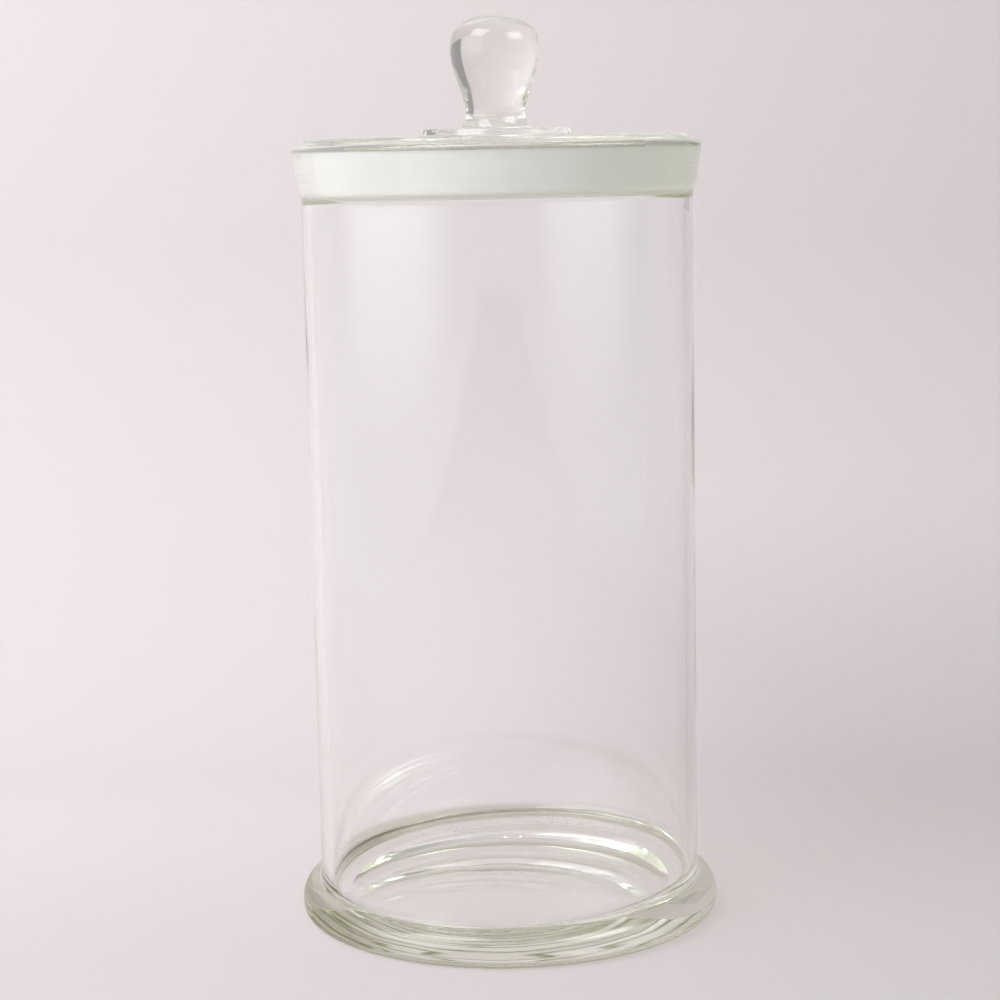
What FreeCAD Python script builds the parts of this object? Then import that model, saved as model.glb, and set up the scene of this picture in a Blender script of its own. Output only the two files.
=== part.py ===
import FreeCAD, Part
import math
import os

# Specimen jar: a blown clear-glass cylinder on a pressed foot, closed by a hollow ground-glass stopper lid
# with a solid knob. Millimetres, +Z up. The origin is on the axis, in the plane that the foot stands on.
# Every node is a solid turned about Z. Nodes that are fused on the real jar meet face to face.

# Body cylinder
BODY_RADIUS = 75.0
WALL_AT_NECK = 3.3
WALL_AT_FLOOR = 4.2

# Foot and floor
FOOT_RADIUS = 82.4
FOOT_WIDEST_HEIGHT = 6.4
FOOT_SHOULDER_ROUNDING = 7.6
FOOT_EDGE_ROUNDING = 4.4
FOOT_TO_BODY_ROUNDING = 2.5
CONTACT_INNER_RADIUS = 64.0
KICK_UP_HEIGHT = 3.0
KICK_UP_SHARE_AT_HALF_RADIUS = 0.75
FLOOR_HEIGHT = 14.2
FLOOR_CORNER_ROUNDING = 4.0
FLOOR_UNDERSIDE_HEIGHT = 8.0
FLOOR_UNDERSIDE_RADIUS = 71.5

# Flared neck, with the ground conical seat inside it
FLARE_START_HEIGHT = 279.5
FLARE_MIDDLE = (76.5, 287.0)
LIP_RADIUS = 78.6
LIP_SIDE_HEIGHT = 299.4
JAR_HEIGHT = 301.2
SEAT_BOTTOM_HEIGHT = 283.0
SEAT_BOTTOM_RADIUS = 73.0
SEAT_TOP_HEIGHT = 299.6
SEAT_TOP_RADIUS = 75.2

# Stopper lid
SEAT_GAP = 0.03
PLUG_BOTTOM_HEIGHT = 283.9
PLUG_WALL = 3.4
PLUG_EDGE_ROUNDING = 1.0
DISC_UNDERSIDE_HEIGHT = 299.6
DISC_RIM_RADIUS = 74.0
DISC_RIM_HEIGHT = 301.4
DISC_TOP_HEIGHT = 303.7
DISC_EDGE_ROUNDING = 1.6

# Knob, and the flat pad that joins it to the lid
PAD_BOTTOM_RADIUS = 29.7
PAD_TOP_RADIUS = 28.3
PAD_THICKNESS = 3.1
PAD_EDGE_ROUNDING = 0.5
KNOB_HEIGHT = 42.9
KNOB_BASE_RADIUS = 14.0
KNOB_NECK = (11.3, 5.4)
KNOB_WAIST = (12.8, 12.8)
KNOB_SHOULDER = (15.7, 21.8)
KNOB_BELLY = (17.0, 29.9)
KNOB_BROW = (15.3, 36.8)
KNOB_CROWN = (8.8, 41.4)

UP, DOWN, INWARD = (0, 1), (0, -1), (-1, 0)
SAME_PLACE = 1e-6


def point(place):
    """A place in the half section, given as distance from the axis and height."""
    radius, height = place
    return FreeCAD.Vector(radius, 0, height)


def straight(*places):
    """Straight edges from each place to the next."""
    return [Part.makeLine(point(a), point(b)) for a, b in zip(places, places[1:])]


def rounding(centre, radius, start, end):
    """An arc about the centre, between two angles in degrees from the outward direction."""
    angles = [math.radians(a) for a in (start, (start + end) / 2, end)]
    on_arc = [(centre[0] + radius * math.cos(a), centre[1] + radius * math.sin(a)) for a in angles]
    return [Part.Arc(*[point(p) for p in on_arc]).toShape()]


def arc_through(start, middle, end):
    return [Part.Arc(point(start), point(middle), point(end)).toShape()]


def curve(places, leaving, arriving):
    """One smooth edge through the places, leaving and arriving in the given directions."""
    spline = Part.BSplineCurve()
    spline.interpolate(
        [point(p) for p in places],
        InitialTangent=point(leaving).normalize(),
        FinalTangent=point(arriving).normalize(),
        Scale=False,
    )
    return [spline.toShape()]


def turned(edges):
    """The solid made by turning a closed half section once about the jar's axis."""
    section = Part.Face(Part.Wire(Part.sortEdges(edges)[0]))
    return section.revolve(FreeCAD.Vector(0, 0, 0), FreeCAD.Vector(0, 0, 1), 360)


def softened(solid, radius, *corners):
    """The solid with the circular edges at the given corners of its half section rounded."""
    edges = [e for e in solid.Edges if any(is_at(e, corner) for corner in corners)]
    return solid.makeFillet(radius, edges)


def is_at(edge, corner):
    """Whether the edge is the circle about Z through the given place."""
    box = edge.BoundBox
    flat = box.ZLength < SAME_PLACE and abs(box.ZMax - corner[1]) < SAME_PLACE
    return flat and abs(box.XMax - corner[0]) < SAME_PLACE


def wall_inner_radius(height):
    """The wall's inside thins evenly from the floor to the neck."""
    floor_end = FLOOR_HEIGHT + FLOOR_CORNER_ROUNDING
    share = (height - floor_end) / (FLARE_START_HEIGHT - floor_end)
    return BODY_RADIUS - WALL_AT_FLOOR - share * (WALL_AT_NECK - WALL_AT_FLOOR)


def seat_radius(height):
    """The ground cone inside the neck."""
    share = (height - SEAT_BOTTOM_HEIGHT) / (SEAT_TOP_HEIGHT - SEAT_BOTTOM_HEIGHT)
    return SEAT_BOTTOM_RADIUS + share * (SEAT_TOP_RADIUS - SEAT_BOTTOM_RADIUS)


def shoulder_centre():
    return (FOOT_RADIUS - FOOT_SHOULDER_ROUNDING, FOOT_WIDEST_HEIGHT)


def body_rounding_centre():
    """The hollow rounding touches both the body's side and the foot's shoulder."""
    centre = shoulder_centre()
    out = BODY_RADIUS + FOOT_TO_BODY_ROUNDING
    reach = FOOT_SHOULDER_ROUNDING + FOOT_TO_BODY_ROUNDING
    return (out, centre[1] + math.sqrt(reach**2 - (out - centre[0]) ** 2))


def lean_of_roundings():
    """The direction from the shoulder's centre to the hollow rounding's, in degrees."""
    low, high = shoulder_centre(), body_rounding_centre()
    return math.degrees(math.atan2(high[1] - low[1], high[0] - low[0]))


def foot_joint():
    """Where the body is fused to the foot: the line on which the two roundings meet."""
    centre, angle = shoulder_centre(), math.radians(lean_of_roundings())
    out = centre[0] + FOOT_SHOULDER_ROUNDING * math.cos(angle)
    return (out, centre[1] + FOOT_SHOULDER_ROUNDING * math.sin(angle))


def floor_underside():
    """Where the cylinder's closed end rests in the foot, from its edge to the axis."""
    return (FLOOR_UNDERSIDE_RADIUS, FLOOR_UNDERSIDE_HEIGHT), (0, FLOOR_UNDERSIDE_HEIGHT)


def jar_foot():
    """A pressed disc with a rounded edge. It stands on a flat ring around a shallow hollow."""
    edge = FOOT_EDGE_ROUNDING
    kick_up = (0, KICK_UP_HEIGHT)
    hollow_edge = (CONTACT_INNER_RADIUS, 0)
    hollow_middle = (CONTACT_INNER_RADIUS / 2, KICK_UP_HEIGHT * KICK_UP_SHARE_AT_HALF_RADIUS)
    joint = foot_joint()
    edges = arc_through(kick_up, hollow_middle, hollow_edge)
    edges += straight(hollow_edge, (FOOT_RADIUS - edge, 0))
    edges += rounding((FOOT_RADIUS - edge, edge), edge, -90, 0)
    edges += straight((FOOT_RADIUS, edge), (FOOT_RADIUS, FOOT_WIDEST_HEIGHT))
    edges += rounding(shoulder_centre(), FOOT_SHOULDER_ROUNDING, 0, lean_of_roundings())
    edges += straight(joint, *floor_underside(), kick_up)
    return turned(edges)


def jar_floor():
    """The closed end of the cylinder, sunk in the foot. Its inside corner is rounded."""
    corner = FLOOR_CORNER_ROUNDING
    end = FLOOR_HEIGHT + corner
    inside = wall_inner_radius(end)
    joint = foot_joint()
    spread = body_rounding_centre()
    edges = rounding((inside - corner, end), corner, -90, 0)
    edges += straight((inside, end), (BODY_RADIUS, end), (BODY_RADIUS, spread[1]))
    edges += rounding(spread, FOOT_TO_BODY_ROUNDING, 180, 180 + lean_of_roundings())
    edges += straight(joint, *floor_underside(), (0, FLOOR_HEIGHT), (inside - corner, FLOOR_HEIGHT))
    return turned(edges)


def jar_wall():
    """The blown cylinder between the floor and the neck."""
    low = FLOOR_HEIGHT + FLOOR_CORNER_ROUNDING
    high = FLARE_START_HEIGHT
    outline = [
        (BODY_RADIUS, low),
        (BODY_RADIUS, high),
        (wall_inner_radius(high), high),
        (wall_inner_radius(low), low),
    ]
    return turned(straight(*outline, outline[0]))


def jar_neck():
    """The flared neck. Its inside is ground to a cone that seats the lid, and its lip is rounded."""
    start = FLARE_START_HEIGHT
    outer_start = (BODY_RADIUS, start)
    outer_end = (LIP_RADIUS, LIP_SIDE_HEIGHT)
    flare = (LIP_RADIUS - FLARE_MIDDLE[0], LIP_SIDE_HEIGHT - FLARE_MIDDLE[1])
    seat_top = (SEAT_TOP_RADIUS, SEAT_TOP_HEIGHT)
    seat_bottom = (SEAT_BOTTOM_RADIUS, SEAT_BOTTOM_HEIGHT)
    inner_start = (wall_inner_radius(start), start)
    lip_top = ((SEAT_TOP_RADIUS + LIP_RADIUS) / 2, JAR_HEIGHT)
    edges = curve([outer_start, FLARE_MIDDLE, outer_end], UP, flare)
    edges += arc_through(outer_end, lip_top, seat_top)
    edges += straight(seat_top, seat_bottom)
    edges += curve([seat_bottom, inner_start], DOWN, DOWN)
    edges += straight(inner_start, outer_start)
    return turned(edges)


def lid_plug():
    """The hollow skirt under the lid. Its outside is ground to fit the neck's cone."""
    outer_low = (seat_radius(PLUG_BOTTOM_HEIGHT) - SEAT_GAP, PLUG_BOTTOM_HEIGHT)
    outer_high = (seat_radius(DISC_UNDERSIDE_HEIGHT) - SEAT_GAP, DISC_UNDERSIDE_HEIGHT)
    inner_low = (outer_low[0] - PLUG_WALL, PLUG_BOTTOM_HEIGHT)
    inner_high = (outer_high[0] - PLUG_WALL, DISC_UNDERSIDE_HEIGHT)
    skirt = turned(straight(outer_low, outer_high, inner_high, inner_low, outer_low))
    return softened(skirt, PLUG_EDGE_ROUNDING, outer_low, inner_low)


def lid_disc():
    """The flat plate that closes the lid. Its rim stands just clear above the jar's lip."""
    plug_top = (seat_radius(DISC_UNDERSIDE_HEIGHT) - SEAT_GAP, DISC_UNDERSIDE_HEIGHT)
    rim_low = (DISC_RIM_RADIUS, DISC_RIM_HEIGHT)
    rim_high = (DISC_RIM_RADIUS, DISC_TOP_HEIGHT)
    edges = curve([plug_top, rim_low], UP, UP)
    edges += straight(rim_low, rim_high, (0, DISC_TOP_HEIGHT), (0, DISC_UNDERSIDE_HEIGHT), plug_top)
    return softened(turned(edges), DISC_EDGE_ROUNDING, rim_high)


def knob_pad():
    """The flat round pad between the lid and the knob, narrower at the top."""
    top = DISC_TOP_HEIGHT + PAD_THICKNESS
    edge_high = (PAD_TOP_RADIUS, top)
    outline = [(0, DISC_TOP_HEIGHT), (PAD_BOTTOM_RADIUS, DISC_TOP_HEIGHT), edge_high, (0, top)]
    return softened(turned(straight(*outline, outline[0])), PAD_EDGE_ROUNDING, edge_high)


def knob():
    """The solid pear-shaped knob, drawn in to a neck above its spread base."""
    base = DISC_TOP_HEIGHT + PAD_THICKNESS
    profile = [(KNOB_BASE_RADIUS, base)]
    for radius, rise in (KNOB_NECK, KNOB_WAIST, KNOB_SHOULDER, KNOB_BELLY, KNOB_BROW, KNOB_CROWN):
        profile.append((radius, base + rise))
    profile.append((0, base + KNOB_HEIGHT))
    edges = curve(profile, INWARD, INWARD)
    edges += straight(profile[-1], (0, base), profile[0])
    return turned(edges)


NODES = {
    "jar_foot": jar_foot,
    "jar_floor": jar_floor,
    "jar_wall": jar_wall,
    "jar_neck": jar_neck,
    "lid_plug": lid_plug,
    "lid_disc": lid_disc,
    "knob_pad": knob_pad,
    "knob": knob,
}

os.makedirs("parts", exist_ok=True)
for name, build in NODES.items():
    build().exportStep(f"parts/{name}.step")
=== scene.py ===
import math

import bpy
import numpy as np
from mathutils import Matrix, Vector


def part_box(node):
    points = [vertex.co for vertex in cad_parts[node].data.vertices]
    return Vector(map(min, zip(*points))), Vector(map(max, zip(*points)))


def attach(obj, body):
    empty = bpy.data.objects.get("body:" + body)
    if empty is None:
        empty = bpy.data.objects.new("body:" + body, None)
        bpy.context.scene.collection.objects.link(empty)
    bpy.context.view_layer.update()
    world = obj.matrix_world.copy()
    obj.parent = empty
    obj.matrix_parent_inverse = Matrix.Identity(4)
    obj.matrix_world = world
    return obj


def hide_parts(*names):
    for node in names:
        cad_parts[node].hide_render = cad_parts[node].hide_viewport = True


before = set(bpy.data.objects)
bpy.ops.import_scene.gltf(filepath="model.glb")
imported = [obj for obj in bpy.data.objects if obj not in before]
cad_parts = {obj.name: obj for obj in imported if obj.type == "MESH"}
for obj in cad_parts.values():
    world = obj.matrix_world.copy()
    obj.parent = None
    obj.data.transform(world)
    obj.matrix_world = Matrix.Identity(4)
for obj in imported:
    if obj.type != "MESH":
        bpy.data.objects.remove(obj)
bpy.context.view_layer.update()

# A blown glass specimen jar and its ground stopper lid. Each is one closed glass surface turned about the
# jar's axis, because the sections that the frame holds apart are fused on the real jar. Metres, +Z up.

MM = 0.001
TURN_STEPS = 256

# Sizes that the frame's boxes give
FOOT_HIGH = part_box("jar_foot")[1]
WALL_LOW, WALL_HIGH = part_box("jar_wall")
NECK_LOW, NECK_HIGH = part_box("jar_neck")
PLUG_LOW, PLUG_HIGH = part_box("lid_plug")
DISC_LOW, DISC_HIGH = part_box("lid_disc")
PAD_LOW, PAD_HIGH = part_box("knob_pad")
KNOB_LOW, KNOB_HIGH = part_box("knob")

# Roundings and thicknesses inside those boxes
FOOT_EDGE_ROUNDING = 4.4 * MM
FOOT_SHOULDER_ROUNDING = 7.6 * MM
FOOT_WIDEST_HEIGHT = 6.4 * MM
FOOT_TO_BODY_ROUNDING = 2.5 * MM
CONTACT_INNER_RADIUS = 64.0 * MM
KICK_UP_HEIGHT = 3.0 * MM
KICK_UP_STEPS = 24
FLOOR_CORNER_ROUNDING = 4.0 * MM
WALL_AT_FLOOR = 4.2 * MM
WALL_AT_NECK = 3.3 * MM
LIP_THICKNESS = 3.4 * MM
LIP_SIDE_DROP = 1.8 * MM
SEAT_TOP_DROP = 1.6 * MM
SEAT_TAPER = 2.2 / 16.6
SEAT_BOTTOM_RISE = 3.5 * MM
PLUG_WALL = 3.4 * MM
PLUG_EDGE_ROUNDING = 1.0 * MM
PLUG_CORNER_ROUNDING = 2.0 * MM
DISC_RIM_INSET = 1.17 * MM
DISC_RIM_RISE = 1.8 * MM
DISC_EDGE_ROUNDING = 1.6 * MM
PAD_TAPER = 1.4 * MM
PAD_EDGE_ROUNDING = 0.5 * MM
PAD_EDGE_START = 25

# The neck's flare: how far out and up its middle lies, and the directions that it leaves and arrives in
FLARE_MIDDLE = (1.5 * MM, 7.5 * MM)
FLARE_LEAVES = (0, 5 * MM)
FLARE_ARRIVES = (2.4 * MM, 12.4 * MM)

# The pull of the two short curves, from the seat into the wall and from the plug into the disc's rim
SEAT_TO_WALL_PULL = (0, -4 * MM)
PLUG_TO_RIM_PULL = (0, 1.5 * MM)
GROUND_STEPS_BELOW_SEAT = 5

# The jar's floor was never quite level: it rises towards the right and the back
FLOOR_RISE_RIGHT = 0.045
FLOOR_RISE_BACK = 0.045
FLOOR_RISE_FADE = 30 * MM

# The knob's half section from its base to its crown, as shares of its widest radius and of its height
KNOB_PROFILE = [
    (0.82, 0.0), (0.665, 0.126), (0.753, 0.298), (0.924, 0.508),
    (1.0, 0.697), (0.9, 0.858), (0.518, 0.965), (0.0, 1.0),
]
KNOB_LEAVES = (-3.5 * MM, 0)
KNOB_ARRIVES = (-9.5 * MM, 0)

# How far the hot glass strays from the true shape
WAVE_UNDERSIDE = 0.03 * MM
WAVE_FOOT_SIDE = 0.02 * MM
WAVE_FOOT_TOP = 0.03 * MM
WAVE_BODY = 0.05 * MM
WAVE_LIP = 0.04 * MM
WAVE_WALL_INSIDE = 0.07 * MM
WAVE_FLOOR_CORNER = 0.05 * MM
WAVE_FLOOR = 0.09 * MM
WAVE_DISC_UNDERSIDE = 0.012 * MM
WAVE_PLUG_CORNER = 0.015 * MM
WAVE_PLUG_INSIDE = 0.02 * MM
WAVE_DISC_EDGE = 0.015 * MM
WAVE_DISC_TOP = 0.01 * MM
WAVE_PAD = 0.02 * MM
WAVE_KNOB = 0.06 * MM

# Waves round the glass, as (size, swings per turn, radians per metre of outline, share of the seed)
WAVES = (
    (1.0, 2, 21, 1.0),
    (0.7, 3, -34, 2.1),
    (0.45, 7, 63, 0.7),
    (0.3, 11, -47, 1.0),
)
RING_WAVE_SIZE, RING_WAVE_RATE, RING_WAVE_DRIFT = 0.25, 190, 2
WAVE_SUM = 2.7
WAVE_FADE_RADIUS = 20 * MM
JAR_SEED, LID_SEED = 1.3, 4.1

CLEAR, GROUND = 0, 1


# ---------------------------------------------------------------- outlines

def straight(start, end, steps=2):
    """Places evenly spaced from start to end, as (distance from the axis, height)."""
    return [
        (start[0] + (end[0] - start[0]) * i / steps, start[1] + (end[1] - start[1]) * i / steps)
        for i in range(steps + 1)
    ]


def rounded(centre, radius, start, end, steps=12):
    """Places on an arc between two angles in degrees from the outward direction."""
    angles = [math.radians(start + (end - start) * i / steps) for i in range(steps + 1)]
    return [(centre[0] + radius * math.cos(a), centre[1] + radius * math.sin(a)) for a in angles]


def eased(start, end, leave, arrive, steps=16):
    """Places on a smooth curve that leaves start and arrives at end along the given vectors."""
    places = []
    for i in range(steps + 1):
        t = i / steps
        weights = (2 * t**3 - 3 * t**2 + 1, t**3 - 2 * t**2 + t, 3 * t**2 - 2 * t**3, t**3 - t**2)
        terms = (start, leave, end, arrive)
        places.append(tuple(sum(w * v[k] for w, v in zip(weights, terms)) for k in (0, 1)))
    return places


def through(places, first, last, steps=8):
    """Places on one smooth curve through the given ones, with the directions at its two ends."""
    slopes = [first]
    for before, after in zip(places, places[2:]):
        slopes.append(((after[0] - before[0]) / 2, (after[1] - before[1]) / 2))
    slopes.append(last)
    curve = [places[0]]
    for i in range(len(places) - 1):
        curve += eased(places[i], places[i + 1], slopes[i], slopes[i + 1], steps)[1:]
    return curve


class Outline:
    """A half section, walked so that the glass is on the left, with a finish and a waviness per stretch."""

    def __init__(self):
        self.places = []
        self.finishes = []
        self.waves = []
        self.uneven = []

    def add(self, places, finish=CLEAR, wave=0.0, uneven=0.0):
        """Adds a stretch. wave is how far in metres the hot glass strays from the true shape there.

        uneven is the share of the floor's slope that it follows. Both can depend on the place.
        """
        if self.places and math.dist(self.places[-1], places[0]) < 1e-9:
            places = places[1:]
        for place in places:
            self.places.append(place)
            self.finishes.append(finish)
            self.waves.append(wave(place) if callable(wave) else wave)
            self.uneven.append(uneven(place) if callable(uneven) else uneven)


def edge_wave(place):
    """The waviness of the foot's lower edge, which starts from a true flat ring."""
    return WAVE_FOOT_SIDE * place[1] / FOOT_EDGE_ROUNDING


def follows_floor(place):
    """The share of the floor's slope that the wall follows, which dies away above the floor."""
    return max(0.0, 1 - (place[1] - WALL_LOW.z) / FLOOR_RISE_FADE) ** 2


def add_foot(outline, foot_radius, body_radius):
    """From the middle of the underside to the top of the foot's spread. Gives the height that it ends at."""
    shoulder = (foot_radius - FOOT_SHOULDER_ROUNDING, FOOT_WIDEST_HEIGHT)
    spread_out = body_radius + FOOT_TO_BODY_ROUNDING
    reach = FOOT_SHOULDER_ROUNDING + FOOT_TO_BODY_ROUNDING
    spread = (spread_out, shoulder[1] + math.sqrt(reach**2 - (spread_out - shoulder[0]) ** 2))
    lean = math.degrees(math.atan2(spread[1] - shoulder[1], spread[0] - shoulder[0]))
    edge = (foot_radius - FOOT_EDGE_ROUNDING, FOOT_EDGE_ROUNDING)
    shares = [i / KICK_UP_STEPS for i in range(KICK_UP_STEPS + 1)]
    kick_up = [(CONTACT_INNER_RADIUS * t, KICK_UP_HEIGHT * (1 - t * t)) for t in shares]

    outline.add(kick_up, wave=WAVE_UNDERSIDE)
    outline.add(straight(kick_up[-1], (edge[0], 0), 4))
    outline.add(rounded(edge, FOOT_EDGE_ROUNDING, -90, 0, 12), wave=edge_wave)
    side = straight((foot_radius, FOOT_EDGE_ROUNDING), (foot_radius, FOOT_WIDEST_HEIGHT))
    outline.add(side, wave=WAVE_FOOT_SIDE)
    outline.add(rounded(shoulder, FOOT_SHOULDER_ROUNDING, 0, lean, 18), wave=WAVE_FOOT_TOP)
    outline.add(rounded(spread, FOOT_TO_BODY_ROUNDING, 180 + lean, 180, 10), wave=WAVE_FOOT_TOP)
    return spread[1]


def jar_outline():
    """From the middle of the underside, out and up over the lip, and down inside to the floor's middle."""
    outline = Outline()
    body_radius = WALL_HIGH.x
    floor_height = WALL_LOW.z - FLOOR_CORNER_ROUNDING
    lip_side = (NECK_HIGH.x, NECK_HIGH.z - LIP_SIDE_DROP)
    seat_top = (NECK_HIGH.x - LIP_THICKNESS, NECK_HIGH.z - SEAT_TOP_DROP)
    seat_bottom_height = NECK_LOW.z + SEAT_BOTTOM_RISE
    seat_bottom = (seat_top[0] - SEAT_TAPER * (seat_top[1] - seat_bottom_height), seat_bottom_height)
    wall_inside_high = (body_radius - WALL_AT_NECK, NECK_LOW.z)
    wall_inside_low = (body_radius - WALL_AT_FLOOR, WALL_LOW.z)
    corner = (wall_inside_low[0] - FLOOR_CORNER_ROUNDING, WALL_LOW.z)

    spread_top = add_foot(outline, FOOT_HIGH.x, body_radius)
    outline.add(straight((body_radius, spread_top), (body_radius, NECK_LOW.z), 90), wave=WAVE_BODY)
    flare_middle = (body_radius + FLARE_MIDDLE[0], NECK_LOW.z + FLARE_MIDDLE[1])
    flare = [(body_radius, NECK_LOW.z), flare_middle, lip_side]
    outline.add(through(flare, FLARE_LEAVES, FLARE_ARRIVES, 10), wave=WAVE_BODY)
    lip = ((lip_side[0] + seat_top[0]) / 2, NECK_HIGH.z - LIP_THICKNESS / 2)
    outline.add(rounded(lip, LIP_THICKNESS / 2, 0, 180, 16), wave=WAVE_LIP)
    outline.add(straight(seat_top, seat_bottom, 20), finish=GROUND)
    blend = eased(seat_bottom, wall_inside_high, SEAT_TO_WALL_PULL, SEAT_TO_WALL_PULL, 12)
    outline.add(blend[: GROUND_STEPS_BELOW_SEAT + 1], finish=GROUND)
    outline.add(blend[GROUND_STEPS_BELOW_SEAT:], wave=WAVE_BODY)
    wall = straight(wall_inside_high, wall_inside_low, 90)
    outline.add(wall, wave=WAVE_WALL_INSIDE, uneven=follows_floor)
    floor_edge = rounded(corner, FLOOR_CORNER_ROUNDING, 0, -90, 16)
    outline.add(floor_edge, wave=WAVE_FLOOR_CORNER, uneven=1.0)
    outline.add(straight((corner[0], floor_height), (0, floor_height), 26), wave=WAVE_FLOOR, uneven=1.0)
    return outline


def lid_outline():
    """From the middle under the disc, out and down inside the plug, round it, and up over rim and knob."""
    outline = Outline()
    rim = DISC_HIGH.x - DISC_RIM_INSET
    soft = PLUG_EDGE_ROUNDING
    plug_top = (PLUG_HIGH.x, PLUG_HIGH.z)
    plug_bottom = (plug_top[0] - SEAT_TAPER * (PLUG_HIGH.z - PLUG_LOW.z), PLUG_LOW.z)
    inside_low = (plug_bottom[0] - PLUG_WALL, PLUG_LOW.z + soft)
    inside_high = (plug_top[0] - PLUG_WALL, DISC_LOW.z)
    corner = (inside_high[0] - PLUG_CORNER_ROUNDING, inside_high[1] - PLUG_CORNER_ROUNDING)
    disc_edge = (rim - DISC_EDGE_ROUNDING, DISC_HIGH.z - DISC_EDGE_ROUNDING)
    pad_edge = (PAD_HIGH.x - PAD_TAPER - PAD_EDGE_ROUNDING, PAD_HIGH.z - PAD_EDGE_ROUNDING)

    outline.add(straight((0, DISC_LOW.z), (corner[0], DISC_LOW.z), 24), wave=WAVE_DISC_UNDERSIDE)
    outline.add(rounded(corner, PLUG_CORNER_ROUNDING, 90, 0, 8), wave=WAVE_PLUG_CORNER)
    outline.add(straight((inside_high[0], corner[1]), inside_low, 16), wave=WAVE_PLUG_INSIDE)
    outline.add(rounded((inside_low[0] + soft, inside_low[1]), soft, 180, 270, 6))
    outline.add(rounded((plug_bottom[0] - soft, inside_low[1]), soft, -90, 0, 6))
    outline.add(straight((plug_bottom[0], inside_low[1]), plug_top, 20), finish=GROUND)
    rim_low = (rim, DISC_LOW.z + DISC_RIM_RISE)
    outline.add(eased(plug_top, rim_low, PLUG_TO_RIM_PULL, PLUG_TO_RIM_PULL, 8))
    outline.add(rounded(disc_edge, DISC_EDGE_ROUNDING, 0, 90, 10), wave=WAVE_DISC_EDGE)
    disc_top = straight((disc_edge[0], DISC_HIGH.z), (PAD_HIGH.x, DISC_HIGH.z), 16)
    outline.add(disc_top, wave=WAVE_DISC_TOP)
    pad_round = rounded(pad_edge, PAD_EDGE_ROUNDING, PAD_EDGE_START, 90, 6)
    outline.add(straight((PAD_HIGH.x, PAD_LOW.z), pad_round[0], 3), wave=WAVE_PAD)
    outline.add(pad_round, wave=WAVE_PAD)
    knob_height = KNOB_HIGH.z - KNOB_LOW.z
    places = [(r * KNOB_HIGH.x, KNOB_LOW.z + h * knob_height) for r, h in KNOB_PROFILE]
    outline.add(straight(pad_round[-1], places[0], 6), wave=WAVE_PAD)
    outline.add(through(places, KNOB_LEAVES, KNOB_ARRIVES, 12), wave=WAVE_KNOB)
    return outline


# ---------------------------------------------------------------- glass surfaces

def waviness(angle, along, seed):
    """Slow swells, helical cords and rings of blown glass, between about -1 and 1."""
    total = RING_WAVE_SIZE * np.sin(RING_WAVE_RATE * along + RING_WAVE_DRIFT * np.sin(angle + seed))
    for size, swings, rate, share in WAVES:
        total = total + size * np.sin(swings * angle + rate * along + share * seed)
    return total / WAVE_SUM


def turned_places(outline, seed):
    """The outline's places between its two ends, turned about the axis in rings and made uneven."""
    places = np.array(outline.places)
    inner = places[1:-1]
    angle = np.linspace(0, 2 * math.pi, TURN_STEPS, endpoint=False)
    around, ring = np.meshgrid(angle, np.arange(len(inner)))
    radius, height = inner[ring, 0], inner[ring, 1]
    path = np.concatenate([[0], np.cumsum(np.hypot(*np.diff(places, axis=0).T))])[1:-1]
    fade = np.clip(radius / WAVE_FADE_RADIUS, 0, 1)
    stray = np.array(outline.waves)[1:-1][ring] * waviness(around, path[ring], seed) * fade
    tangent = np.gradient(places, axis=0)[1:-1]
    tangent /= np.linalg.norm(tangent, axis=1)[:, None]
    radius = radius + stray * tangent[ring, 1]
    slope = FLOOR_RISE_RIGHT * np.cos(around) + FLOOR_RISE_BACK * np.sin(around)
    rise = np.array(outline.uneven)[1:-1][ring] * slope * radius
    height = height - stray * tangent[ring, 0] + rise
    rings = np.stack([radius * np.cos(around), radius * np.sin(around), height], -1)
    return rings.reshape(-1, 3).tolist()


def turned_faces(outline, last):
    """The faces between the rings and at the two ends on the axis, 0 and last, with their finishes."""
    faces, finish = [], []
    count = len(outline.places) - 2
    top = 1 + (count - 1) * TURN_STEPS
    for j in range(TURN_STEPS):
        k = (j + 1) % TURN_STEPS
        faces.append((0, 1 + k, 1 + j))
        finish.append(outline.finishes[1])
        faces.append((last, top + j, top + k))
        finish.append(outline.finishes[-1])
    for i in range(count - 1):
        a, b = 1 + i * TURN_STEPS, 1 + (i + 1) * TURN_STEPS
        for j in range(TURN_STEPS):
            k = (j + 1) % TURN_STEPS
            faces.append((a + j, a + k, b + k, b + j))
            finish.append(outline.finishes[i + 2])
    return faces, finish


def smooth_object(name, verts, faces, materials):
    mesh = bpy.data.meshes.new(name)
    mesh.from_pydata(verts, [], faces)
    for material in materials:
        mesh.materials.append(material)
    mesh.polygons.foreach_set("use_smooth", [True] * len(faces))
    made = bpy.data.objects.new(name, mesh)
    bpy.context.scene.collection.objects.link(made)
    return made


def turned(name, outline, materials, seed):
    """One closed surface: the outline turned about the axis, with the glass's own waviness."""
    start, end = (0, 0, outline.places[0][1]), (0, 0, outline.places[-1][1])
    verts = [start] + turned_places(outline, seed) + [end]
    faces, finish = turned_faces(outline, len(verts) - 1)
    piece = smooth_object(name, verts, faces, materials)
    piece.data.polygons.foreach_set("material_index", finish)
    piece.data.update()
    return piece


# ---------------------------------------------------------------- materials

GLASS_IOR = 1.51
MELT_COLOUR, MELT_DENSITY = (0.46, 0.56, 0.20, 1), 1.4
PEEL_SCALE, PEEL_STRENGTH, PEEL_HEIGHT = 60.0, 0.005, 1.0 * MM

# Shades of a shadow ray, and where the foot's thick edge begins
SHADE_IN_WALLS = (0.966, 0.966, 0.962, 1)
SHADE_IN_FOOT = (0.76, 0.77, 0.74, 1)
SHADE_FOOT_TOP = (14 * MM, 12 * MM)
SHADE_FOOT_RIM = (73 * MM, 76 * MM)

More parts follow.
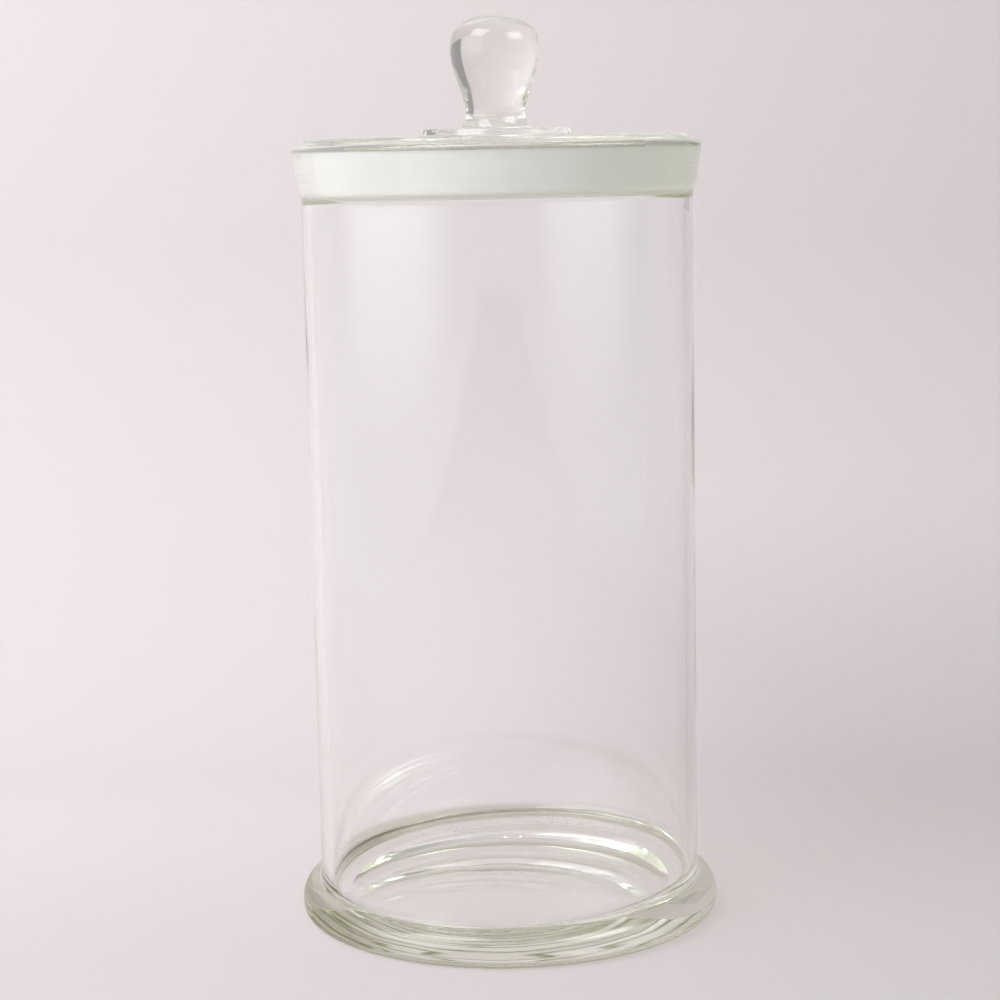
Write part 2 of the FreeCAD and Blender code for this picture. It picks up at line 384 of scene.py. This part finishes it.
# Olive painted shade in the glass's colour round the foot and in the floor's far corner, most on the left; a
# faint olive of thick glass on the knob. The pairs are where each mask starts and ends.
NO_TINT, OLIVE = (1, 1, 1, 1), (0.66, 0.66, 0.56, 1)
FOOT_OUTSIDE = (75.2 * MM, 76.4 * MM)
UNDER_EDGE, UNDER_EDGE_SHADE = (4.0 * MM, 1.2 * MM), 0.75
CREASE_LOW, CREASE_SHADE = (10.5 * MM, 12.0 * MM), 0.5
CREASE_HIGH = (16 * MM, 14 * MM)
FOOT_LEFT, FOOT_LEFT_SHADE = (-36 * MM, -66 * MM), 0.95
FOOT_RIGHT, FOOT_RIGHT_SHADE = (35 * MM, 70 * MM), 0.4
FOOT_SIDE_TOP = (14 * MM, 12 * MM)
CORNER_INNER, CORNER_SHADE = (66.9 * MM, 68.5 * MM), 0.7
CORNER_OUTER = (73.5 * MM, 72.5 * MM)
CORNER_TOP = (22 * MM, 19 * MM)
CORNER_FAR = (0.0, 30 * MM)
CORNER_RIGHT, CORNER_RIGHT_SHARE = (45 * MM, 10 * MM), 0.35
KNOB_TINT_RISE, KNOB_TINT = 4 * MM, 0.07

# The ground seat
GRIT_STRETCH = (18, 18, 700)
GRIT_DETAIL, GRIT_ROUGHNESS = 6.0, 0.7
GRIT_STRENGTH, GRIT_HEIGHT = 0.12, 0.2 * MM
GROUND_ROUGHNESS = 0.45
GROUND_COLOUR = (0.995, 0.985, 0.985, 1)
POWDER_COLOUR = (0.99, 0.97, 0.985, 1)
POWDER_LEAN = 0.7
POWDER_GLOW_SHARE = 0.5
SEAT_FADE_BELOW, SEAT_FADE_ABOVE = 1.5 * MM, 2.5 * MM
SEAT_SHADED_TOP, SEAT_SHADED_TOP_SHARE = 5 * MM, 0.75
STREAKS_IN_GRIT, STREAK_SHARES = (0.3, 0.7), (0.78, 0.96)

# The paper, with painted shade: darker on the floor in front of the jar and low down to its right
PAPER_SHADED = (0.545, 0.513, 0.515, 1)
PAPER_LIT = (0.715, 0.676, 0.681, 1)
PAPER_FRONT, PAPER_FRONT_SHARE = (0.16, -0.10), 0.5
PAPER_RIGHT, PAPER_RIGHT_SHARE = (0.18, -0.05), 0.55
PAPER_RISES = (0.0, 0.12)


def new_material(name):
    material = bpy.data.materials.new(name)
    material.use_nodes = True
    tree = material.node_tree
    tree.nodes.clear()
    return material, tree


def node(tree, kind, **settings):
    """A node of the kind, with properties by name and inputs by their label."""
    made = tree.nodes.new(kind)
    for key, value in settings.items():
        if hasattr(made, key):
            setattr(made, key, value)
        else:
            made.inputs[key.replace("_", " ")].default_value = value
    return made


def ramp(tree, value, span, ends=(0.0, 1.0)):
    """A smooth step from the first of ends to the second, as the value crosses the span."""
    made = node(tree, "ShaderNodeMapRange")
    made.interpolation_type = "SMOOTHSTEP"
    for label, number in zip(("From Min", "From Max", "To Min", "To Max"), (*span, *ends)):
        made.inputs[label].default_value = number
    tree.links.new(value, made.inputs["Value"])
    return made.outputs["Result"]


def combined(tree, operation, values):
    result = values[0]
    for value in values[1:]:
        step = node(tree, "ShaderNodeMath", operation=operation)
        tree.links.new(result, step.inputs[0])
        tree.links.new(value, step.inputs[1])
        result = step.outputs[0]
    return result


def product(tree, *values):
    return combined(tree, "MULTIPLY", values)


def largest(tree, *values):
    return combined(tree, "MAXIMUM", values)


def smallest(tree, *values):
    return combined(tree, "MINIMUM", values)


def parts_of(tree, vector):
    """The x, y and z of a vector."""
    split = node(tree, "ShaderNodeSeparateXYZ")
    tree.links.new(vector, split.inputs[0])
    return split.outputs


def distance_from_axis(tree, place):
    flat = node(tree, "ShaderNodeMapping", Scale=(1, 1, 0))
    tree.links.new(place, flat.inputs["Vector"])
    length = node(tree, "ShaderNodeVectorMath", operation="LENGTH")
    tree.links.new(flat.outputs[0], length.inputs[0])
    return length.outputs["Value"]


def between(tree, colours, share):
    """The colour that lies the share of the way from the first to the second."""
    shades = node(tree, "ShaderNodeValToRGB")
    for element, colour in zip(shades.color_ramp.elements, colours):
        element.color = colour
    tree.links.new(share, shades.inputs[0])
    return shades.outputs[0]


def mixed(tree, share, first, second):
    """The share of the second shader over the first. The share is a number or an output."""
    mix = node(tree, "ShaderNodeMixShader")
    if isinstance(share, float):
        mix.inputs[0].default_value = share
    else:
        tree.links.new(share, mix.inputs[0])
    tree.links.new(first, mix.inputs[1])
    tree.links.new(second, mix.inputs[2])
    return mix.outputs[0]


def foot_shade(tree, place):
    """What the glass takes out of a shadow ray: little in the walls, more in the thick edge of the foot."""
    in_foot = ramp(tree, parts_of(tree, place)["Z"], SHADE_FOOT_TOP)
    rim = ramp(tree, distance_from_axis(tree, place), SHADE_FOOT_RIM)
    return between(tree, (SHADE_IN_WALLS, SHADE_IN_FOOT), product(tree, in_foot, rim))


def lets_lamps_through(tree, seen, tint):
    """The seen shader for the camera, a clear one for scattered light, and a tinted one for shadows."""
    path = node(tree, "ShaderNodeLightPath")
    untinted = node(tree, "ShaderNodeBsdfTransparent")
    tinted = node(tree, "ShaderNodeBsdfTransparent")
    tree.links.new(tint, tinted.inputs["Color"])
    surface = mixed(tree, path.outputs["Is Diffuse Ray"], seen, untinted.outputs[0])
    return mixed(tree, path.outputs["Is Shadow Ray"], surface, tinted.outputs[0])


def finish_glass(tree, place, seen):
    """Makes the seen shader the surface of a body of glass.

    The faint green of iron in the melt shows only where light goes a long way through.
    """
    output = node(tree, "ShaderNodeOutputMaterial")
    surface = lets_lamps_through(tree, seen, foot_shade(tree, place))
    tree.links.new(surface, output.inputs["Surface"])
    volume = node(tree, "ShaderNodeVolumeAbsorption", Color=MELT_COLOUR, Density=MELT_DENSITY)
    tree.links.new(volume.outputs[0], output.inputs["Volume"])


def painted_shade_and_glass_tint(tree, place):
    """Olive painted shade round the foot and in the floor's far corner, and a faint olive of thick glass up
    the knob.
    """
    radius = distance_from_axis(tree, place)
    x, y, z = parts_of(tree, place)

    under_edge = ramp(tree, z, UNDER_EDGE, (0.0, UNDER_EDGE_SHADE))
    crease = product(tree, ramp(tree, z, CREASE_LOW, (0.0, CREASE_SHADE)), ramp(tree, z, CREASE_HIGH))
    left = ramp(tree, x, FOOT_LEFT, (0.0, FOOT_LEFT_SHADE))
    right = ramp(tree, x, FOOT_RIGHT, (0.0, FOOT_RIGHT_SHADE))
    side = product(tree, largest(tree, left, right), ramp(tree, z, FOOT_SIDE_TOP))
    foot = product(tree, ramp(tree, radius, FOOT_OUTSIDE), largest(tree, under_edge, crease, side))

    floor = product(
        tree,
        ramp(tree, radius, CORNER_INNER, (0.0, CORNER_SHADE)),
        ramp(tree, radius, CORNER_OUTER),
        ramp(tree, z, CORNER_TOP),
        ramp(tree, y, CORNER_FAR),
        ramp(tree, x, CORNER_RIGHT, (CORNER_RIGHT_SHARE, 1.0)),
    )
    knob = ramp(tree, z, (KNOB_LOW.z, KNOB_LOW.z + KNOB_TINT_RISE), (0.0, KNOB_TINT))
    return between(tree, (NO_TINT, OLIVE), largest(tree, foot, floor, knob))


def clear_glass():
    """Fire-polished glass: smooth, with a faint orange-peel from the flame."""
    material, tree = new_material("clear_glass")
    place = node(tree, "ShaderNodeTexCoord").outputs["Object"]
    peel = node(tree, "ShaderNodeTexNoise", Scale=PEEL_SCALE, Detail=2.0)
    tree.links.new(place, peel.inputs["Vector"])
    bump = node(tree, "ShaderNodeBump", Strength=PEEL_STRENGTH, Distance=PEEL_HEIGHT)
    tree.links.new(peel.outputs["Fac"], bump.inputs["Height"])
    glass = node(tree, "ShaderNodeBsdfGlass", IOR=GLASS_IOR, Roughness=0.0)
    tree.links.new(bump.outputs[0], glass.inputs["Normal"])
    # The glass's colour carries painted shade round the foot and in the floor's far corner.
    tree.links.new(painted_shade_and_glass_tint(tree, place), glass.inputs["Color"])
    finish_glass(tree, place, glass.outputs[0])
    return material


def leaning(tree, normal, lean):
    """The normal leant up or down, because the two ground faces pass light on, mostly from the lid above."""
    up = node(tree, "ShaderNodeVectorMath", operation="ADD")
    tree.links.new(normal, up.inputs[0])
    up.inputs[1].default_value = (0, 0, lean)
    unit = node(tree, "ShaderNodeVectorMath", operation="NORMALIZE")
    tree.links.new(up.outputs[0], unit.inputs[0])
    return unit.outputs[0]


def ground_powder(tree, normal):
    """The matt white of the grit's scratches, which light both bounces off and passes through."""
    matt = node(tree, "ShaderNodeBsdfDiffuse", Color=POWDER_COLOUR)
    glow = node(tree, "ShaderNodeBsdfTranslucent", Color=POWDER_COLOUR)
    tree.links.new(leaning(tree, normal, POWDER_LEAN), matt.inputs["Normal"])
    tree.links.new(leaning(tree, normal, -POWDER_LEAN), glow.inputs["Normal"])
    return mixed(tree, POWDER_GLOW_SHARE, matt.outputs[0], glow.outputs[0])


def ground_glass():
    """The ground seat: white, in streaks from grit that ran round the cone, worn thin at its lower edge, and
    less white near its top as painted shade under the thick lip.
    """
    material, tree = new_material("ground_glass")
    place = node(tree, "ShaderNodeTexCoord").outputs["Object"]
    stretch = node(tree, "ShaderNodeMapping", Scale=GRIT_STRETCH)
    tree.links.new(place, stretch.inputs["Vector"])
    grit = node(tree, "ShaderNodeTexNoise", Scale=1.0, Detail=GRIT_DETAIL, Roughness=GRIT_ROUGHNESS)
    tree.links.new(stretch.outputs[0], grit.inputs["Vector"])
    bump = node(tree, "ShaderNodeBump", Strength=GRIT_STRENGTH, Distance=GRIT_HEIGHT)
    tree.links.new(grit.outputs["Fac"], bump.inputs["Height"])
    rough = node(
        tree, "ShaderNodeBsdfGlass", IOR=GLASS_IOR, Roughness=GROUND_ROUGHNESS, Color=GROUND_COLOUR
    )
    tree.links.new(bump.outputs[0], rough.inputs["Normal"])
    powder = ground_powder(tree, bump.outputs[0])

    height = parts_of(tree, place)["Z"]
    low, high = NECK_LOW.z + SEAT_BOTTOM_RISE, NECK_HIGH.z
    worn_low = ramp(tree, height, (low - SEAT_FADE_BELOW, low + SEAT_FADE_ABOVE))
    # Painted shade: less white near the top, where the seat lies under the thick lip.
    shaded_top = ramp(tree, height, (high, high - SEAT_SHADED_TOP), (SEAT_SHADED_TOP_SHARE, 1.0))
    streaks = ramp(tree, grit.outputs["Fac"], STREAKS_IN_GRIT, STREAK_SHARES)
    white = product(tree, worn_low, shaded_top, streaks)
    finish_glass(tree, place, mixed(tree, white, rough.outputs[0], powder))
    return material


def front_only(tree, seen):
    """Nothing at all from behind, so that the backdrop never hides the jar."""
    facing = node(tree, "ShaderNodeNewGeometry")
    clear = node(tree, "ShaderNodeBsdfTransparent")
    return mixed(tree, facing.outputs["Backfacing"], seen, clear.outputs[0])


def paper():
    """Seamless studio paper, very slightly warm, with painted shade that darkens the floor in front of the
    jar and to its right.
    """
    material, tree = new_material("studio_paper")
    output = node(tree, "ShaderNodeOutputMaterial")
    matt = node(tree, "ShaderNodeBsdfDiffuse")
    x, y, z = parts_of(tree, node(tree, "ShaderNodeTexCoord").outputs["Object"])
    # Painted shade: the paper's colour darkens towards the front, and low down on the right.
    front = ramp(tree, y, PAPER_FRONT, (1.0, PAPER_FRONT_SHARE))
    right = largest(
        tree,
        ramp(tree, x, PAPER_RIGHT, (PAPER_RIGHT_SHARE, 1.0)),
        ramp(tree, z, PAPER_RISES, (PAPER_RIGHT_SHARE, 1.0)),
    )
    colour = between(tree, (PAPER_SHADED, PAPER_LIT), smallest(tree, front, right))
    tree.links.new(colour, matt.inputs["Color"])
    tree.links.new(front_only(tree, matt.outputs[0]), output.inputs["Surface"])
    return material


# ---------------------------------------------------------------- the object

def build_object():
    glass, ground = clear_glass(), ground_glass()
    jar = turned("jar_glass", jar_outline(), [glass, ground], JAR_SEED)
    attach(jar, "jar")
    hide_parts("jar_foot", "jar_floor", "jar_wall", "jar_neck")
    lid = turned("lid_glass", lid_outline(), [glass, ground], LID_SEED)
    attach(lid, "lid")
    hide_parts("lid_plug", "lid_disc", "knob_pad", "knob")
    return jar, lid


# ---------------------------------------------------------------- the studio

SWEEP_LEFT, SWEEP_RIGHT = -0.75, 2.5
SWEEP_FRONT = -4.0
SWEEP_BEND_START = 0.20
SWEEP_BEND_RADIUS = 0.25
SWEEP_BEND_STEPS = 32
SWEEP_TOP = 1.5

FLAG_LEFT, FLAG_BOTTOM = 0.31, 0.26
FLAG_GAP = 0.02
FLAG_GREY = (0.33, 0.33, 0.33, 1)

ROOM_COLOUR = (1.0, 0.97, 0.97, 1)
ROOM_SIDES = (0.85, -0.75)
ROOM_STRENGTHS = (0.36, 0.95)

CAMERA_PLACE = Vector((-0.0011, -0.9175, 0.2991))
CAMERA_PITCH = -8.434
CAMERA_ROLL = -1.091
CAMERA_LENS = 85.3
CAMERA_SENSOR = 36.0
CAMERA_CLIP = (0.01, 20.0)

GLASS_BOUNCES = 128
SCATTER_BOUNCES = 4
CLEAR_BOUNCES = 32


def stage_sheet(name, verts, faces, material):
    smooth_object(name, verts, faces, [material])


def build_sweep():
    """A floor that curves up into the background."""
    section = [(SWEEP_FRONT, 0.0)]
    centre = (SWEEP_BEND_START, SWEEP_BEND_RADIUS)
    section += rounded(centre, SWEEP_BEND_RADIUS, -90, 0, SWEEP_BEND_STEPS)
    section.append((SWEEP_BEND_START + SWEEP_BEND_RADIUS, SWEEP_TOP))
    verts = [(x, y, z) for x in (SWEEP_LEFT, SWEEP_RIGHT) for y, z in section]
    n = len(section)
    faces = [(i, n + i, n + i + 1, i + 1) for i in range(n - 1)]
    stage_sheet("sweep", verts, faces, paper())


def build_flag():
    """A grey card just out of the picture, on the right in front of the background: a dark sheet that stands
    in for the room's dim right side, which the glass mirrors.
    """
    y = SWEEP_BEND_START + SWEEP_BEND_RADIUS - FLAG_GAP
    low = [(FLAG_LEFT, y, FLAG_BOTTOM), (SWEEP_RIGHT, y, FLAG_BOTTOM)]
    high = [(SWEEP_RIGHT, y, SWEEP_TOP), (FLAG_LEFT, y, SWEEP_TOP)]
    material, tree = new_material("grey_card")
    output = node(tree, "ShaderNodeOutputMaterial")
    matt = node(tree, "ShaderNodeBsdfDiffuse", Color=FLAG_GREY)
    tree.links.new(front_only(tree, matt.outputs[0]), output.inputs["Surface"])
    stage_sheet("flag", low + high, [(0, 1, 2, 3)], material)


def softbox(name, place, target, size, radiance, fades):
    """A rectangular light. fades holds the share of its size that its glow takes to build up from each side.

    The sides are the ones at its own -X, +X, -Y and +Y.
    """
    light = bpy.data.lights.new(name, "AREA")
    light.shape = "RECTANGLE"
    light.size, light.size_y = size
    light.energy = radiance * math.pi * size[0] * size[1]
    light.use_nodes = True
    tree = light.node_tree
    glow = tree.nodes["Emission"]
    across = parts_of(tree, node(tree, "ShaderNodeNewGeometry").outputs["Parametric"])
    steps = []
    for axis, low, high in (("X", fades[0], fades[1]), ("Y", fades[2], fades[3])):
        steps.append(ramp(tree, across[axis], (0.0, low)))
        steps.append(ramp(tree, across[axis], (1.0, 1.0 - high)))
    tree.links.new(product(tree, *steps), glow.inputs["Strength"])
    lamp = bpy.data.objects.new(name, light)
    lamp.location = place
    lamp.rotation_euler = (Vector(target) - Vector(place)).to_track_quat("-Z", "Y").to_euler()
    bpy.context.scene.collection.objects.link(lamp)
    return lamp


def light_only(lamp, *pieces):
    """Keeps the lamp off everything but the pieces."""
    lit = bpy.data.collections.new("lit_by_" + lamp.name)
    for piece in pieces:
        lit.objects.link(piece)
    lamp.light_linking.receiver_collection = lit


def build_lights(jar, lid):
    """Two soft boxes on the left, and a soft fill from the right that lights only the glass."""
    softbox(
        "key_left",
        place=(-0.53, -0.42, 1.02),
        target=(0, 0, 0.15),
        size=(0.8, 0.8),
        radiance=5.2,
        fades=(0.25, 0.25, 0.3, 0.15),
    )
    softbox(
        "low_left",
        place=(-0.86, -0.46, 0.46),
        target=(0, -0.05, 0.42),
        size=(1.8, 0.86),
        radiance=2.0,
        fades=(0.4, 0.4, 0.35, 0.2),
    )
    fill = softbox(
        "top_right",
        place=(0.92, -0.52, 0.95),
        target=(0, 0, 0.2),
        size=(1.4, 0.9),
        radiance=5.6,
        fades=(0.4, 0.4, 0.4, 0.4),
    )
    light_only(fill, jar, lid)


def build_world():
    """A pale room: bright on the left, dim on the right."""
    world = bpy.data.worlds.new("room")
    world.use_nodes = True
    tree = world.node_tree
    tree.nodes.clear()
    output = node(tree, "ShaderNodeOutputWorld")
    background = node(tree, "ShaderNodeBackground", Color=ROOM_COLOUR)
    direction = parts_of(tree, node(tree, "ShaderNodeTexCoord").outputs["Generated"])
    strength = ramp(tree, direction["X"], ROOM_SIDES, ROOM_STRENGTHS)
    tree.links.new(strength, background.inputs["Strength"])
    tree.links.new(background.outputs[0], output.inputs["Surface"])
    bpy.context.scene.world = world


def build_camera():
    """The photograph's viewpoint: a short telephoto near the lid's height, tipped down."""
    pitch, roll = math.radians(CAMERA_PITCH), math.radians(CAMERA_ROLL)
    forward = Vector((0, math.cos(pitch), math.sin(pitch)))
    level_right = Vector((1, 0, 0))
    level_up = level_right.cross(forward)
    right = level_right * math.cos(roll) + level_up * math.sin(roll)
    up = level_up * math.cos(roll) - level_right * math.sin(roll)
    data = bpy.data.cameras.new("camera")
    data.sensor_width = CAMERA_SENSOR
    data.lens = CAMERA_LENS
    data.clip_start, data.clip_end = CAMERA_CLIP
    camera = bpy.data.objects.new("camera", data)
    axes = Matrix((right, up, -forward)).transposed()
    camera.matrix_world = Matrix.Translation(CAMERA_PLACE) @ axes.to_4x4()
    bpy.context.scene.collection.objects.link(camera)
    bpy.context.scene.camera = camera


def set_light_paths():
    """Enough bounces for light that is trapped in the wall to find its way out."""
    scene = bpy.context.scene
    scene.cycles.max_bounces = GLASS_BOUNCES
    scene.cycles.transmission_bounces = GLASS_BOUNCES
    scene.cycles.glossy_bounces = GLASS_BOUNCES
    scene.cycles.diffuse_bounces = SCATTER_BOUNCES
    scene.cycles.transparent_max_bounces = CLEAR_BOUNCES
    scene.cycles.caustics_reflective = False
    scene.cycles.caustics_refractive = False
    scene.view_settings.view_transform = "Standard"


jar, lid = build_object()
build_sweep()
build_flag()
build_world()
build_lights(jar, lid)
build_camera()
set_light_paths()
